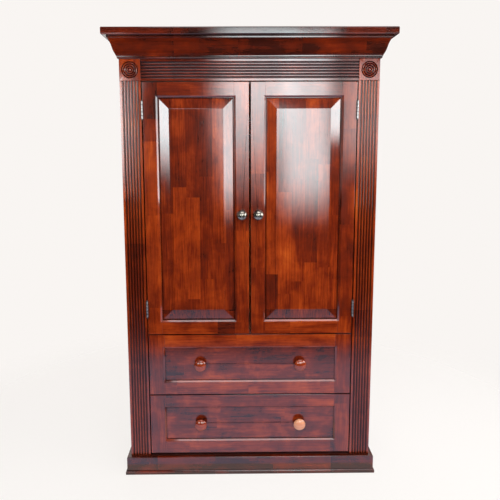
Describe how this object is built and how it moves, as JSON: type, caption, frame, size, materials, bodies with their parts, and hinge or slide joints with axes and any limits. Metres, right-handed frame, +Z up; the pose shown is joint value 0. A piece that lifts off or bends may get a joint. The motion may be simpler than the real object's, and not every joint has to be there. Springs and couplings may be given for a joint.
{
  "type": "armoire",
  "caption": "Freestanding wooden armoire with raised-panel doors over full-width drawers, fluted pilasters, corner rosettes, reeded frieze and crown moulding.",
  "frame": {"origin": "at floor level under the middle of the whole outline, which the top board sets", "axes": "+Z up, the doors and drawers face -Y, +X to the right of someone facing the front"},
  "size_m": [1.234, 0.642, 2.006],
  "materials": {
    "cherry_frame": "glossy red-brown stained lacquer",
    "cherry_panel": "glossy red-brown stained lacquer",
    "cherry_moulding": "glossy red-brown stained lacquer",
    "inner_wood": "clear satin lacquer on pale secondary wood",
    "pewter": "antique pewter plated, polished high spots",
    "hinge_steel": "satin nickel plated steel",
    "rail_chrome": "polished chrome plated tube",
    "zinc_screw": "zinc plated"
  },
  "bodies": {
    "carcass": {"side_panel_left": "cherry_frame", "side_panel_right": "cherry_frame", "carcass_top": "inner_wood", "cabinet_floor": "inner_wood", "drawer_divider": "inner_wood", "bottom_panel": "inner_wood", "back_panels": "inner_wood", "back_stile": "cherry_frame", "pilaster_left": "cherry_frame", "pilaster_right": "cherry_frame", "corner_block_left": "cherry_frame", "corner_block_right": "cherry_frame", "frieze_rail": "cherry_frame", "crown_front": "cherry_moulding", "crown_left": "cherry_moulding", "crown_right": "cherry_moulding", "top_board": "cherry_moulding", "plinth_front": "cherry_moulding", "plinth_left": "cherry_moulding", "plinth_right": "cherry_moulding", "hat_shelf": "inner_wood", "shelf_pins": "zinc_screw", "garment_rail": "rail_chrome", "rail_sockets": "rail_chrome", "drawer_guides": "inner_wood", "door_catches": "zinc_screw", "hinge_frame_leaves": "hinge_steel", "hinge_pins": "hinge_steel"},
    "left_door": {"left_door_hinge_stile": "cherry_frame", "left_door_lock_stile": "cherry_frame", "left_door_rails": "cherry_frame", "left_door_panel": "cherry_panel", "left_door_hinge_leaves": "hinge_steel", "left_door_knob": "pewter", "left_door_knob_screw": "zinc_screw", "left_door_catch_plate": "zinc_screw"},
    "right_door": {"right_door_hinge_stile": "cherry_frame", "right_door_lock_stile": "cherry_frame", "right_door_rails": "cherry_frame", "right_door_panel": "cherry_panel", "right_door_hinge_leaves": "hinge_steel", "right_door_knob": "pewter", "right_door_knob_screw": "zinc_screw", "right_door_catch_plate": "zinc_screw"},
    "upper_drawer": {"upper_drawer_stiles": "cherry_frame", "upper_drawer_rails": "cherry_frame", "upper_drawer_panel": "cherry_panel", "upper_drawer_sides": "inner_wood", "upper_drawer_ends": "inner_wood", "upper_drawer_bottom": "inner_wood", "upper_drawer_knobs": "cherry_frame", "upper_drawer_knob_screws": "zinc_screw"},
    "lower_drawer": {"lower_drawer_stiles": "cherry_frame", "lower_drawer_rails": "cherry_frame", "lower_drawer_panel": "cherry_panel", "lower_drawer_sides": "inner_wood", "lower_drawer_ends": "inner_wood", "lower_drawer_bottom": "inner_wood", "lower_drawer_knobs": "cherry_frame", "lower_drawer_knob_screws": "zinc_screw"}
  },
  "joints": [
    {"name": "left_door_hinge", "type": "hinge", "parent": "carcass", "child": "left_door", "pos_m": [-0.4645, -0.2655, 1.232], "axis": [0, 0, -1], "range_deg": [0, 170]},
    {"name": "right_door_hinge", "type": "hinge", "parent": "carcass", "child": "right_door", "pos_m": [0.4645, -0.2655, 1.232], "axis": [0, 0, 1], "range_deg": [0, 170]},
    {"name": "upper_drawer_slide", "type": "slide", "parent": "carcass", "child": "upper_drawer", "axis": [0, -1, 0], "range_m": [0, 0.4]},
    {"name": "lower_drawer_slide", "type": "slide", "parent": "carcass", "child": "lower_drawer", "axis": [0, -1, 0], "range_m": [0, 0.4]}
  ]
}
